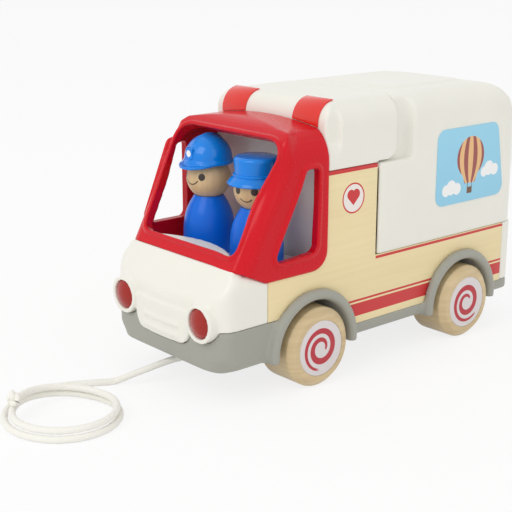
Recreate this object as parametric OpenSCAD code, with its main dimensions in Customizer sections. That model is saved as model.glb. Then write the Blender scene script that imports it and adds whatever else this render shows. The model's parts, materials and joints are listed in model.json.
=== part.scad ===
// Pull-along toy ambulance: moulded body on wooden wheels, two peg figures and a pull cord.
// Millimetres, +Z up, nose towards -Y, origin on the floor under the middle of the body.

/* [Overall] */
// Length over the headlights and the rear cover
length = 276; // [264:1:300]
// Width between the outer faces of the side panels
body_w = 108; // [102:1:116]
// Height of the roof
roof_h = 171.5; // [168:0.5:184]
// Height of the chassis' lower edge
ride_h = 21; // [19:0.5:23]
// Height of the belt line, where the cab and the rear cover begin
belt_h = 72; // [69:0.5:76]
// Height of the shoulder line, where the front roof begins
shoulder_h = 131; // [126:0.5:136]
// Wall of the moulded shells
wall = 3; // [2:0.1:4]
// Gap between pieces that move past each other
run_gap = 0.4; // [0.3:0.05:0.6]
// Gap between pieces that are fitted together
fit_gap = 0.2; // [0.1:0.05:0.3]

/* [Wheels and axles] */
// Wheel diameter
wheel_d = 50; // [47:0.5:53]
// Wheel width
wheel_w = 29; // [24:0.5:31]
// Round on the wheel's edges
wheel_edge = 4; // [2:0.5:5]
// How far the wheels stand out past the side panels
wheel_reach = 8; // [5:0.5:10]
// Distance between the axles
wheelbase = 138; // [130:1:146]
// Front axle behind the headlights
front_overhang = 77; // [74:0.5:82]
// Diameter of the printed disc on a wheel
disc_d = 35; // [28:0.5:38]
// Thickness of the printed disc and of the window stickers
print_t = 0.5; // [0.4:0.05:0.8]
// Axle diameter
axle_d = 5; // [4:0.5:6]
// Wood left outside the blind hole of a wheel
wheel_skin = 6; // [4:0.5:9]
// Radial running clearance of an axle in its bush
axle_play = 0.05; // [0.02:0.01:0.1]
// Wall of an axle bush
bush_wall = 2; // [1.5:0.1:2.5]

/* [Chassis] */
// Height of the sill above the chassis' lower edge
sill_h = 9; // [8:0.5:11]
// Top of the bumper
bumper_h = 47; // [44:0.5:50]
// Space round a wheel in its arch
arch_room = 4; // [3:0.5:5]
// Wall of the wheel arch liner
arch_wall = 2.5; // [2:0.1:3]
// Width of the rounded bead of a wheel arch
bead_w = 7; // [6:0.5:8]
// Round on the chassis' lower edge
keel_round = 6; // [3:0.5:7]

/* [Nose] */
// Where the nose meets the side panels, behind the headlights
nose_len = 41; // [38:0.5:43]
// How far the headlights stand out past the bumper
lamp_reach = 5.5; // [4.5:0.5:7]
// Headlight diameter
lamp_d = 18; // [15:0.5:20]
// Wall of the headlight tubes
lamp_wall = 2.8; // [2:0.1:3.5]
// Distance between the headlights
lamp_pitch = 75; // [70:0.5:78]
// Height of the headlights
lamp_h = 51; // [49:0.5:54]
// Lower edge of the grille
grille_low = 34; // [31:0.5:36]
// Width of the grille
grille_w = 56; // [50:0.5:60]

/* [Cab] */
// Rear edge of the cab behind the headlights
cab_len = 88.5; // [86:0.5:92]
// Height of the cab roof
cab_h = 160; // [157:0.5:163]
// Rake of the windscreen
rake = 27.8; // [25:0.1:30]
// Wall of the cab frame
cab_wall = 4.5; // [3.5:0.1:5]
// How far the cab stands out past the side panels
cab_proud = 1; // [0.5:0.1:2]
// Raised bead round the windows
bead_h = 1.1; // [0.6:0.1:1.6]
// Floor of the cab above the belt line
cab_floor = 2; // [1:0.5:4]

/* [Rear cover] */
// Front edge of the rear cover behind the headlights
cover_front = 131.5; // [128:0.5:135]
// Where the finger groove begins, behind the headlights
groove_start = 148.5; // [146:0.5:152]
// Width of the finger groove
groove_w = 14.5; // [12:0.5:18]
// Depth of the finger groove
groove_d = 6; // [5:0.5:8]
// How far the rear cover stands out past the side panels
cover_proud = 0.8; // [0.4:0.1:1.5]
// How far the rear cover leans in between belt and roof
cover_lean = 14; // [8:0.5:16]
// Height of the raised middle of the cover's roof
roof_step = 1.2; // [0.8:0.1:2]

/* [Figures] */
// Distance between the two figures
seat_pitch = 46; // [42:0.5:50]
// Figures behind the headlights
seat_back = 59; // [57:0.5:62]
// Largest diameter of a figure's body
figure_d = 33; // [29:0.5:35]
// Height of a figure's body
figure_h = 37; // [33:0.5:39]
// Diameter of a figure's head
head_d = 28; // [25:0.5:30]

/* [Pull cord] */
// Cord diameter
cord_d = 4.2; // [3.4:0.1:4.2]
// Radius of the coil's loops, at the middle of the cord
coil_r = 32; // [30:0.5:36]
// Loops in the coil
coil_turns = 2.25; // [1.5:0.25:3]

/* [Hidden] */
$fn = 48;
slack = 0.01;

half_w = body_w / 2;
front_y = -length / 2;
rear_y = length / 2;
axle_z = wheel_d / 2;
axle_r = axle_d / 2;
front_axle_y = front_y + front_overhang;
rear_axle_y = front_axle_y + wheelbase;
wheel_out = half_w + wheel_reach;
wheel_in = wheel_out - wheel_w;

// Chassis
sill_z = ride_h + sill_h;
floor_t = wall;
bumper_y = front_y + lamp_reach;
bumper_shoulder = 0.8;
bumper_corner = 11;
bumper_crown = 90;
bumper_bow = 2.6;
rear_wall_y = rear_y - 0.6;
rear_corner = 11;
arch_in_r = wheel_d / 2 + arch_room;
arch_out_r = arch_in_r + arch_wall;
well_in = wheel_in - 5;
block_w = 10;
block_depth = 16;
bush_r = axle_r + axle_play + bush_wall;
bush_collar_r = bush_r + 1.5;
eye_y = front_axle_y - 46;
eye_t = 6;
eye_z = ride_h - 5.5;
eye_w = 12;

// Side panels and tub
tub_rim = 4;
tub_corner = 14;
panel_t = 4;
panel_in = half_w - panel_t;
seam_y = front_y + nose_len;
panel_rear_y = rear_y - 15;
step_y = front_y + cover_front - fit_gap;

// Nose and cab
cab_rear_y = front_y + cab_len;
cab_half = half_w + cab_proud;
tub_front_y = cab_rear_y + 2 * wall;
sill_front = [bumper_y + 13, belt_h + 9.5];
sill_side = [seam_y - 2, belt_h];
function sill_at(y) = belt_h + (sill_front.y - belt_h) * (sill_side.x - y) / (sill_side.x - sill_front.x);
cab_edge = 23;
cab_corner_low = 12;
cab_crown = 253;
cab_header = 22;
cab_pillar = 11;
lamp_y = front_y + 1.5;
lamp_back = bumper_y + 12;
hood_round = 13;
grille_proud = 1.4;
grille_top = bumper_h + 8;
rib_w = 35;
rib_t = 2.2;
rib_proud = 0.8;
rib_pitch = 6.7;
screen_low = 8.5;
screen_high = 80;
screen_half_low = 42.5;
screen_half_high = 48;
bead_ring = 2.6;
window_low = belt_h + 13;
window_high = cab_h - 25;
cab_span = 160;
cab_fore = 60;
cab_open = 30;
window_rear = cab_rear_y - 9;
window_w_low = 31;
window_w_high = 10;
far_window_ahead = 16.5;
far_window_up = 4;
seat_z = belt_h + cab_floor - 2;
seat_y = front_y + seat_back;
dash_z = belt_h + 14.5;
bulkhead_low = axle_z + arch_out_r + wall;
bulkhead_foot = 20;
dash_back = sill_front.x + 20;
dash_bow = 66;

// Roofs
roof_edge = 14;
fairing_half = 51;
fairing_edge = 13;
fairing_round = 9;
overhang = 1.2;
overhang_round = 8;
block_front_y = cab_rear_y + 10.5;
groove_y = front_y + groove_start;
groove_end_y = groove_y + groove_w;
light_in = 22;
light_out = 44.5;
light_t = 0.8;
light_low = cab_h - 6;
light_back = cab_rear_y + 12;

// Rear cover
cover_half = half_w + cover_proud;
cover_front_y = front_y + cover_front + run_gap;
cover_z = belt_h + fit_gap;
neck_half = cover_half - groove_d;
tongue_half = min(neck_half, half_w - wall) - run_gap - 0.6;
roof_round = 28;
cover_corner = 16;
cover_front_round = 5;
plate_half = 30;
sticker_low = belt_h + 22;
sticker_high = shoulder_h + 14;
sticker_front = groove_end_y + 23;
sticker_rear_low = rear_y - 19;
sticker_rear_high = rear_y - 28;
sticker_corner = 7;

// Fasteners
screw_r = 1.4;
screw_head_r = 3;
screw_head_t = 2;
screw_len = 9;
screw_seat = 4;
screw_tip = sill_z - screw_seat + screw_len;
screw_boss_h = 4;
boss_r = 4.5;
tub_screw_y = [cab_rear_y + 16, rear_wall_y - 22];
tub_screw_x = 14;
cab_screw_x = 14;
cab_screw_y = front_axle_y - 28;

// Figures
head_r = head_d / 2;
neck_z = seat_z + figure_h;
head_z = neck_z + 0.8 * head_r;
peg_r = 3;
peg_h = 8;
helmet_low = head_z + 9;
cap_low = head_z + 3;
helmet_h = 18.2;
cap_h = 17;
brim_t = 2.2;
visor = 3;

// Pull cord: route from the eye in the chassis to the coil on the floor
cord_r = cord_d / 2;
cord_sides = 8;
coil_sides = 6;
coil_rings = 24;
coil_mid = [2.5, -205];
coil_from = 130;
coil_flare = 18.5;
coil_step = 1.6;
coil_rise = 4.6;
climb_from = 0.9;
climb_len = 0.35;
knot_r = 4;
knot_lift = 1.2;
cord_route = [
    [0, eye_y - eye_t / 2, eye_z], [0, eye_y - 8, eye_z], [-4, -122, 14.4], [-8, -130, 12.2],
    [-12, -138, 9.4], [-17, -145.5, 6.2], [-20.5, -150.5, 3.8],
];

// Outlines: a list of corners [x, y, radius], with each round corner drawn as an arc
arc_steps = 8;
function unit(v) = v / norm(v);
function flat(p) = [p.x, p.y];
function turn(a, b) = a.x * b.y - a.y * b.x;
function corner(before, here, after) =
    let (
        u = unit(flat(before) - flat(here)),
        v = unit(flat(after) - flat(here)),
        half = acos(u * v) / 2,
        middle = flat(here) + unit(u + v) * here[2] / sin(half),
        start = flat(here) + u * here[2] / tan(half) - middle,
        from = atan2(start.y, start.x),
        sweep = sign(turn(u, v)) * (180 - 2 * half)
    )
    here[2] == 0
        ? [flat(here)]
        : [for (i = [0:arc_steps])
            let (a = from - sweep * i / arc_steps)
            middle + here[2] * [cos(a), sin(a)]];
function rounded(points) =
    let (n = len(points))
    [for (i = [0:n - 1]) each corner(points[(i + n - 1) % n], points[i], points[(i + 1) % n])];
function box_outline(x0, y0, x1, y1, r) = [[x0, y0, r], [x1, y0, r], [x1, y1, r], [x0, y1, r]];

// Extrudes an outline along X (outline in Y, Z), along Y (outline in X, Z) or along Z
module along_x(x0, x1) {
    translate([x0, 0, 0]) rotate([90, 0, 90]) linear_extrude(x1 - x0) children();
}
module along_y(y0, y1) {
    translate([0, y1, 0]) rotate([90, 0, 0]) linear_extrude(y1 - y0) children();
}
module along_z(z0, z1) {
    translate([0, 0, z0]) linear_extrude(z1 - z0) children();
}
module outline(points) {
    polygon(rounded(points));
}
module both_sides() {
    children();
    mirror([1, 0, 0]) children();
}
module rod_x(x0, x1, r) {
    translate([x0, 0, 0]) rotate([0, 90, 0]) cylinder(r = r, h = x1 - x0);
}
module rod_y(y0, y1, r) {
    translate([0, y1, 0]) rotate([90, 0, 0]) cylinder(r = r, h = y1 - y0);
}

// Plan of the lower body, with its bowed nose and rounded tail
module body_plan(grow = 0, nose = 0, tail = 0) {
    w = half_w + grow;
    front = bumper_y - grow - nose;
    rear = rear_wall_y + grow + tail;
    outline([
        [-w, front + bumper_shoulder, bumper_corner + grow], [0, front - bumper_bow, bumper_crown],
        [w, front + bumper_shoulder, bumper_corner + grow],
        [w, rear, rear_corner + grow], [-w, rear, rear_corner + grow],
    ]);
}

// Chassis: tray with bumper, sills, wheel arches, axle blocks and the eye for the cord
module chassis_blank() {
    front = bumper_y - bumper_bow;
    intersection() {
        along_z(ride_h, bumper_h) body_plan();
        along_x(-half_w - 1, half_w + 1) outline([
            [front, ride_h, keel_round], [rear_wall_y, ride_h, keel_round], [rear_wall_y, sill_z, 0],
            [seam_y + 14, sill_z, 0], [seam_y + 14, bumper_h, 0], [front, bumper_h, 0],
        ]);
        along_y(front_y - 5, rear_y + 5) outline([
            [-half_w, ride_h, keel_round], [half_w, ride_h, keel_round],
            [half_w, bumper_h + 1, 0], [-half_w, bumper_h + 1, 0],
        ]);
    }
}
module arch(y) {
    translate([0, y, axle_z]) rotate([0, 90, 0]) rotate_extrude(angle = 180, start = 90) arch_profile();
    for (side = [-1, 1]) {
        translate([0, y + side * (arch_in_r + bead_w / 2), 0]) arch_foot();
        arch_end(y + side * (arch_in_r + arch_wall / 2 + 0.5));
    }
}
module arch_end(y) {
    translate([well_in - arch_wall, y - arch_wall / 2, axle_z])
        cube([panel_in - well_in + arch_wall, arch_wall, sill_z - floor_t - axle_z + slack]);
}
module arch_profile() {
    translate([arch_in_r, well_in]) square([arch_wall, half_w - well_in + slack]);
    translate([arch_in_r, half_w]) square([bead_w, bead_w / 4]);
    intersection() {
        translate([arch_in_r + bead_w / 2, half_w + bead_w / 4]) circle(d = bead_w);
        translate([arch_in_r, half_w]) square(bead_w);
    }
    translate([0, well_in - arch_wall]) square([arch_out_r, arch_wall]);
}
module arch_foot() {
    along_z(ride_h, axle_z) {
        translate([half_w - wall, -bead_w / 2]) square([wall + bead_w / 4, bead_w]);
        translate([half_w + bead_w / 4, 0]) circle(d = bead_w);
    }
}
module wheel_well(y, r, inner) {
    translate([0, y, axle_z]) rod_x(inner, wheel_out + 5, r);
}
module axle_block(y) {
    translate([well_in - arch_wall - block_w, y - block_depth / 2, axle_z - bush_r - 3])
        cube([block_w + slack, block_depth, sill_z - axle_z + bush_r + 3]);
}
module screw_hole(x, y) {
    translate([x, y, 0]) cylinder(r = screw_r + fit_gap, h = sill_z + slack);
}
module chassis() {
    color([0.6, 0.6, 0.57])
    difference() {
        union() {
            difference() {
                chassis_blank();
                along_z(0, sill_z - floor_t) body_plan(-keel_round - 1);
                along_z(sill_z, bumper_h + 1) body_plan(-wall);
                nose_slots();
                both_sides() for (y = [front_axle_y, rear_axle_y]) wheel_well(y, arch_out_r, well_in);
            }
            both_sides() for (y = [front_axle_y, rear_axle_y]) arch(y);
            both_sides() for (y = [front_axle_y, rear_axle_y]) axle_block(y);
            translate([-eye_w / 2, eye_y - eye_t / 2, eye_z - eye_w / 2])
                cube([eye_w, eye_t, sill_z - floor_t - eye_z + eye_w / 2 + slack]);
            for (p = screw_places()) translate([p.x, p.y, sill_z - floor_t - screw_seat])
                cylinder(r = boss_r, h = floor_t + screw_seat);
        }
        both_sides() for (y = [front_axle_y, rear_axle_y])
            translate([0, y, axle_z]) rod_x(0, wheel_in, bush_r);
        translate([0, 0, eye_z]) rod_y(eye_y - eye_t, eye_y + eye_t, cord_r + 0.3);
        for (p = screw_places()) screw_hole(p.x, p.y);
    }
}
function tub_screws() = [for (y = tub_screw_y, s = [-1, 1]) [s * tub_screw_x, y]];
function screw_places() = concat(
    tub_screws(),
    [for (s = [-1, 1]) [s * cab_screw_x, cab_screw_y]]
);

// Nose cover: hood with headlight tubes and grille
module nose_side(grow, drop) {
    back = seam_y + drop;
    outline([
        [back, bumper_h - drop, 0], [bumper_y - 5 - grow, bumper_h - drop, 0],
        [bumper_y - 5 - grow, bumper_h + 12 + grow, 26], [sill_front.x - grow, sill_front.y + grow, 0],
        [sill_side.x, sill_side.y + grow, 0], [back, belt_h + grow, 0],
    ]);
}
module nose_front(grow, drop) {
    top = sill_front.y + 2 + grow;
    outline([
        [-half_w - grow, bumper_h - drop, 0], [half_w + grow, bumper_h - drop, 0],
        [half_w + grow, top, hood_round + grow], [-half_w - grow, top, hood_round + grow],
    ]);
}
module nose_blank(grow, drop) {
    intersection() {
        along_x(-half_w - 1, half_w + 1) nose_side(grow, drop);
        along_y(front_y - 5, seam_y + drop) nose_front(grow, drop);
        along_z(ride_h, cab_h) body_plan(grow);
    }
}
module grille_outline(grow) {
    outline([
        [-grille_w / 2 + 3 - grow, grille_low - grow, 9], [grille_w / 2 - 3 + grow, grille_low - grow, 9],
        [grille_w / 2 + grow, grille_top + grow, 4], [-grille_w / 2 - grow, grille_top + grow, 4],
    ]);
}
module nose_skin(inside, outside) {
    intersection() {
        along_y(front_y - 5, bumper_y + 20) children();
        along_z(ride_h, cab_h) difference() {
            body_plan(outside);
            body_plan(inside);
        }
    }
}
module grille() {
    nose_skin(-wall, grille_proud) grille_outline(0);
    for (i = [0, 1])
        nose_skin(0, grille_proud + rib_proud) translate([-rib_w / 2, grille_low + 3 + i * rib_pitch])
            outline(box_outline(0, 0, rib_w, rib_t, rib_t * 0.45));
}
module lamp_rods(y0, y1, r) {
    for (s = [-1, 1]) translate([s * lamp_pitch / 2, 0, lamp_h]) rod_y(y0, y1, r);
}
module nose_slots() {
    along_y(front_y - 5, bumper_y + 20) grille_outline(fit_gap);
    lamp_rods(front_y - 5, bumper_y + 20, lamp_d / 2 + lamp_wall + fit_gap);
}
module nose_cover() {
    color([0.94, 0.94, 0.91])
    difference() {
        union() {
            difference() {
                nose_blank(0, 0);
                nose_blank(-wall, 10);
            }
            grille();
            lamp_rods(lamp_y, lamp_back + wall, lamp_d / 2 + lamp_wall);
        }
        lamp_rods(front_y - 1, lamp_back, lamp_d / 2 + fit_gap / 2);
        lamp_rods(front_y - 1, lamp_back + wall + 1, lamp_d / 2 - 2);
    }
}

// Headlight: plug with a low dome
module headlight(side) {
    color([0.72, 0.2, 0.17])
    translate([side * lamp_pitch / 2, 0, lamp_h]) intersection() {
        rod_y(front_y, lamp_back, lamp_d / 2);
        translate([0, front_y + lamp_d, 0]) sphere(r = lamp_d, $fn = 96);
    }
}

// Cab frame: raked shell with windscreen and side windows
module cab_side(drop) {
    outline([
        [cab_rear_y, belt_h - drop, drop > 0 ? 0 : cab_corner_low], [cab_rear_y, cab_h + 5, 0],
        [cab_rear_y - cab_fore, cab_h + 5, 0], [sill_front.x - 5, sill_at(sill_front.x - 5) - drop, 0],
        [sill_side.x, sill_side.y - drop, 0],
    ]);
}
module cab_front(grow) {
    intersection() {
        outline([
            [-cab_half - grow, belt_h - cab_fore, 0], [cab_half + grow, belt_h - cab_fore, 0],
            [cab_half + grow, cab_h + grow, cab_edge + grow],
            [-cab_half - grow, cab_h + grow, cab_edge + grow],
        ]);
        translate([0, cab_h - cab_crown]) circle(r = cab_crown + grow, $fn = 360);
    }
}
module raked() {
    translate([0, sill_front.x, sill_front.y]) rotate([-rake, 0, 0]) children();
}
module cab_blank(grow, drop = 0) {
    intersection() {
        along_x(-cab_half - 5, cab_half + 5) cab_side(drop);
        along_y(bumper_y, cab_rear_y + slack) cab_front(grow);
        raked() along_z(-cab_span, cab_span)
            outline(box_outline(-cab_half - grow, -grow, cab_half + grow, cab_span, cab_pillar + grow));
        along_x(-cab_half - 5, cab_half + 5) cab_header_side(grow);
    }
}
module cab_header_side(grow) {
    lean = tan(rake);
    outline([
        [sill_front.x - grow - cab_fore * lean, sill_front.y - cab_fore, 0],
        [sill_front.x - grow / cos(rake) + (cab_h - sill_front.y) * lean, cab_h + grow, cab_header],
        [cab_rear_y + 10, cab_h + grow, 0], [cab_rear_y + 10, sill_front.y - cab_fore, 0],
    ]);
}
module screen_outline(grow) {
    low = screen_half_low + grow;
    high = screen_half_high + grow;
    outline([
        [-low, screen_low - grow, 7 + grow], [low, screen_low - grow, 7 + grow],
        [high, screen_high + grow, 13 + grow], [-high, screen_high + grow, 13 + grow],
    ]);
}
module window_outline(grow) {
    outline([
        [window_rear - window_w_low - grow, window_low - grow, 4 + grow],
        [window_rear + grow, window_low - grow, 4 + grow],
        [window_rear + grow, window_high + grow, 3 + grow],
        [window_rear - window_w_high - grow / 2, window_high + grow, 3 + grow],
    ]);
}
module screen_prism(grow) {
    raked() along_y(-cab_open, cab_open) screen_outline(grow);
}
module window_prism(grow) {
    along_x(0, cab_half + 5) window_outline(grow);
    translate([0, -far_window_ahead, far_window_up]) along_x(-cab_half - 5, 0) window_outline(grow);
}
module cab_frame() {
    color([0.84, 0.17, 0.2])
    difference() {
        union() {
            cab_blank(0);
            intersection() {
                cab_blank(bead_h);
                union() {
                    screen_prism(bead_ring);
                    window_prism(bead_ring);
                }
            }
        }
        cab_blank(-cab_wall, cab_open);
        screen_prism(0);
        window_prism(0);
    }
}

// Space under the sill line that the hood fills
module hood_room() {
    back = seam_y + fit_gap;
    far = sill_front.x - cab_open;
    along_x(-half_w, half_w) outline([
        [far, 0, 0], [back, 0, 0], [back, belt_h + fit_gap, 0], [sill_side.x, belt_h + fit_gap, 0],
        [far, sill_at(far) + fit_gap, 0],
    ]);
}

// Cab interior: floor with two round seats, dash under the windscreen and two posts down to the chassis
module cab_interior() {
    color([0.93, 0.93, 0.9])
    difference() {
        union() {
            intersection() {
                cab_blank(-cab_wall - fit_gap, cab_open);
                union() {
                    translate([-panel_in + fit_gap, bumper_y, belt_h - 2])
                        cube([2 * (panel_in - fit_gap), cab_rear_y - bumper_y - wall, cab_floor + 2]);
                    along_z(belt_h, dash_z) intersection() {
                        translate([-half_w, bumper_y]) square([body_w, dash_back - bumper_y]);
                        translate([0, dash_back - dash_bow]) circle(r = dash_bow, $fn = 180);
                    }
                }
            }
            for (s = [-1, 1]) translate([s * cab_screw_x, cab_screw_y, sill_z])
                cylinder(r = boss_r, h = belt_h - sill_z - 2 + slack);
        }
        hood_room();
        for (s = [-1, 1]) {
            translate([s * seat_pitch / 2, seat_y, seat_z]) cylinder(r = figure_d / 2 + run_gap, h = roof_h);
            translate([s * cab_screw_x, cab_screw_y, 0]) cylinder(r = screw_r, h = screw_tip + fit_gap);
        }
    }
}

// Bulkhead behind the figures
module bulkhead() {
    color([0.92, 0.91, 0.9])
    along_y(cab_rear_y + fit_gap, cab_rear_y + fit_gap + wall) intersection() {
        cab_front(-wall - cab_proud - fit_gap);
        union() {
            translate([-panel_in + fit_gap, bulkhead_low]) square([2 * (panel_in - fit_gap), cab_h]);
            translate([-bulkhead_foot, sill_z]) square([2 * bulkhead_foot, cab_h / 2]);
        }
    }
}

// Side panel: wooden board with wheel cut-outs, stepped down for the rear cover
module side_panel() {
    color([0.9, 0.82, 0.63])
    along_x(panel_in, half_w) difference() {
        outline([
            [seam_y + fit_gap, bumper_h + fit_gap, 0], [seam_y + 14 + fit_gap, bumper_h + fit_gap, 0],
            [seam_y + 14 + fit_gap, sill_z, 0], [panel_rear_y, sill_z, 0], [panel_rear_y, belt_h, 1],
            [step_y, belt_h, 0], [step_y, shoulder_h, 0], [seam_y + fit_gap, shoulder_h, 0],
        ]);
        for (y = [front_axle_y, rear_axle_y])
            translate([y, axle_z]) circle(r = arch_out_r + fit_gap, $fn = 96);
        cab_cut();
    }
}
module cab_cut() {
    g = fit_gap;
    outline([
        [cab_rear_y + g, belt_h - g, cab_corner_low + g], [cab_rear_y + g, cab_h + 9, 0],
        [bumper_y, cab_h + 9, 0], [bumper_y, belt_h - g, 0],
    ]);
}

// Front roof: collar that follows the cab, fairing and roof block
module roof_front_view(half, top, edge) {
    outline([[-half, belt_h, 0], [half, belt_h, 0], [half, top, edge], [-half, top, edge]]);
}
module roof_side_view(grow) {
    outline([
        [cab_rear_y + fit_gap - grow, shoulder_h + fit_gap, 0], [step_y, shoulder_h + fit_gap, 0],
        [step_y, shoulder_h + overhang, 0], [groove_y, shoulder_h + overhang, overhang_round],
        [groove_y, roof_h + grow, 0], [cab_rear_y + fit_gap - grow, roof_h + grow, fairing_edge + grow],
    ]);
}
module roof_hollow() {
    back = groove_y + 1;
    low = shoulder_h - 1;
    along_y(cab_rear_y + fit_gap + 2 * wall, back) intersection() {
        roof_front_view(fairing_half - wall, roof_h - wall, fairing_round - wall);
        translate([-half_w, low]) square([body_w, roof_h]);
    }
    along_y(block_front_y + wall, back) intersection() {
        roof_front_view(half_w - wall, roof_h - wall, roof_edge - wall);
        translate([-half_w, low]) square([body_w, roof_h]);
    }
    along_y(cab_rear_y - 1, block_front_y + wall + slack) cab_front(-wall - cab_proud);
}
module front_roof() {
    color([0.95, 0.95, 0.92])
    difference() {
        union() {
            intersection() {
                along_x(-half_w, half_w) roof_side_view(0);
                union() {
                    along_y(cab_rear_y, groove_y) roof_front_view(fairing_half, roof_h, fairing_round);
                    along_y(block_front_y, groove_y) roof_front_view(half_w, roof_h, roof_edge);
                }
            }
            intersection() {
                along_y(cab_rear_y + fit_gap, block_front_y + wall) cab_front(-cab_proud);
                translate([-half_w, cab_rear_y, shoulder_h + fit_gap]) cube([body_w, groove_y - cab_rear_y, roof_h]);
            }
        }
        roof_hollow();
    }
}

// Roof light: red strip that wraps over the fairing's edge
module roof_light(side) {
    color([0.83, 0.18, 0.18])
    difference() {
        along_x(side > 0 ? light_in : -light_out, side > 0 ? light_out : -light_in) intersection() {
            difference() {
                roof_side_view(light_t);
                roof_side_view(0);
            }
            translate([cab_rear_y - 5, light_low]) square([light_back - cab_rear_y + 5, roof_h]);
        }
        translate([0, 0, cab_h - cab_crown])
            rod_y(cab_rear_y - 5, cab_rear_y + 1, cab_crown + fit_gap, $fn = 360);
    }
}

// Cargo box: inner tub under the rear cover, with humps cut for the rear wheels
module tub_plan(inset) {
    half = panel_in - fit_gap - inset;
    front = tub_front_y + inset;
    rear = rear_wall_y - wall - 1 - inset;
    round = tub_corner - inset;
    outline([[-half, front, 0], [half, front, 0], [half, rear, round], [-half, rear, round]]);
}
module cargo_box() {
    color([0.93, 0.93, 0.9])
    difference() {
        union() {
            difference() {
                along_z(sill_z, belt_h + tub_rim) tub_plan(0);
                along_z(sill_z + wall, belt_h + 2 * tub_rim) tub_plan(wall);
            }
            for (p = tub_screws()) translate([p.x, p.y, sill_z])
                cylinder(r = boss_r, h = wall + screw_boss_h);
        }
        both_sides() for (y = [front_axle_y, rear_axle_y])
            wheel_well(y, arch_out_r + fit_gap, well_in - arch_wall - fit_gap);
        for (p = tub_screws()) translate([p.x, p.y, 0]) cylinder(r = screw_r, h = screw_tip + fit_gap);
    }
}

// Rear panel: lower rear wall that wraps round the corners to the side panels
module rear_panel() {
    color([0.94, 0.94, 0.91])
    difference() {
        intersection() {
            along_z(sill_z, belt_h) body_plan();
            translate([-half_w - 1, panel_rear_y + fit_gap, 0]) cube([body_w + 2, length, belt_h]);
        }
        along_z(0, belt_h + 1) body_plan(-wall);
        both_sides() wheel_well(rear_axle_y, arch_out_r + fit_gap, well_in - arch_wall - fit_gap);
    }
}

// Rear cover: hollow cover with a neck at the finger grooves and a tongue under the front roof
module cover_side(grow) {
    outline([
        [cover_front_y - 10, belt_h - 5, 0], [rear_y + grow + 0.6, belt_h - 5, 0],
        [rear_y + grow - cover_lean, roof_h + grow, roof_round], [cover_front_y - 10, roof_h + grow, 0],
    ]);
}
module cover_views(grow) {
    intersection() {
        children();
        along_x(-cover_half - 5, cover_half + 5) cover_side(grow);
        along_y(cover_front_y - 5, rear_y + 5)
            roof_front_view(cover_half + grow, roof_h + grow, roof_edge + grow);
    }
}
module cover_low_plan(grow) {
    h = cover_half + grow;
    front = cover_front_y + (grow < 0 ? -1 : 0);
    edge = grow < 0 ? 0 : cover_front_round;
    outline([
        [-h, front, edge], [h, front, edge],
        [h, rear_y + grow, cover_corner + grow], [-h, rear_y + grow, cover_corner + grow],
    ]);
}
module cover_high_plan(grow) {
    h = cover_half + grow;
    n = neck_half + grow;
    front = groove_y + run_gap + (grow < 0 ? -1 : 0);
    step = groove_end_y - grow;
    edge = grow < 0 ? 2 : 3;
    outline([
        [-n, front, 0], [n, front, 0], [n, step, 5], [h, step, edge],
        [h, rear_y + grow, cover_corner + grow], [-h, rear_y + grow, cover_corner + grow],
        [-h, step, edge], [-n, step, 5],
    ]);
}
module tongue(grow) {
    along_y(cover_front_y - (grow < 0 ? 1 : 0), groove_y + 2)
        intersection() {
            roof_front_view(tongue_half + grow, roof_h - wall - run_gap + grow, roof_edge - wall + grow);
            translate([-half_w, shoulder_h - 2 * wall]) square([body_w, roof_h]);
        }
}
module rear_cover() {
    color([0.95, 0.95, 0.92])
    difference() {
        union() {
            cover_views(0) union() {
                along_z(cover_z, shoulder_h - fit_gap) cover_low_plan(0);
                along_z(shoulder_h - wall, roof_h + 5) cover_high_plan(0);
            }
            tongue(0);
            intersection() {
                along_x(-plate_half, plate_half) cover_side(roof_step);
                along_z(roof_h - 30, roof_h + 5)
                    outline(box_outline(-plate_half, groove_end_y + 2, plate_half, rear_y - 40, 6));
            }
        }
        cover_views(-wall) union() {
            along_z(belt_h - 1, shoulder_h - fit_gap - wall) cover_low_plan(-wall);
            along_z(shoulder_h - fit_gap - wall - slack, roof_h + 5) cover_high_plan(-wall);
        }
        tongue(-wall);
    }
}

// Window sticker on the rear cover
module window_sticker() {
    color([0.57, 0.8, 0.91])
    along_x(cover_half, cover_half + print_t) outline([
        [sticker_front, sticker_low, sticker_corner], [sticker_rear_low, sticker_low, sticker_corner],
        [sticker_rear_high, sticker_high, sticker_corner], [sticker_front, sticker_high, sticker_corner],
    ]);
}

// Axle rod, bushes and wheels
module axle(y) {
    color([0.75, 0.76, 0.78])
    translate([0, y, axle_z]) rod_x(-wheel_out + wheel_skin, wheel_out - wheel_skin, axle_r);
}
module axle_bushes() {
    color([0.9, 0.9, 0.88])
    both_sides() for (y = [front_axle_y, rear_axle_y]) translate([0, y, axle_z]) difference() {
        union() {
            rod_x(well_in - arch_wall - block_w, well_in, bush_r);
            rod_x(well_in, wheel_in - run_gap, bush_collar_r);
        }
        rod_x(well_in - arch_wall - block_w - 1, wheel_in, axle_r + axle_play);
    }
}
module wheel(y, side) {
    color([0.8, 0.71, 0.54])
    translate([0, y, axle_z]) mirror([side > 0 ? 0 : 1, 0, 0]) rotate([0, 90, 0]) difference() {
        rotate_extrude($fn = 96) wheel_profile();
        translate([0, 0, wheel_in - 1]) cylinder(r = axle_r, h = wheel_w - wheel_skin + 1);
        translate([0, 0, wheel_out - print_t]) cylinder(d = disc_d, h = 1);
    }
}
module wheel_profile() {
    r = wheel_d / 2;
    intersection() {
        outline([
            [-r, wheel_in, 0], [r, wheel_in, 2], [r, wheel_out, wheel_edge], [-r, wheel_out, 0],
        ]);
        translate([0, wheel_in - 1]) square([r + 1, wheel_w + 2]);
    }
}
module wheel_disc(y, side) {
    color([0.85, 0.82, 0.82])
    translate([0, y, axle_z]) mirror([side > 0 ? 0 : 1, 0, 0])
        rod_x(wheel_out - print_t, wheel_out, disc_d / 2);
}

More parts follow.
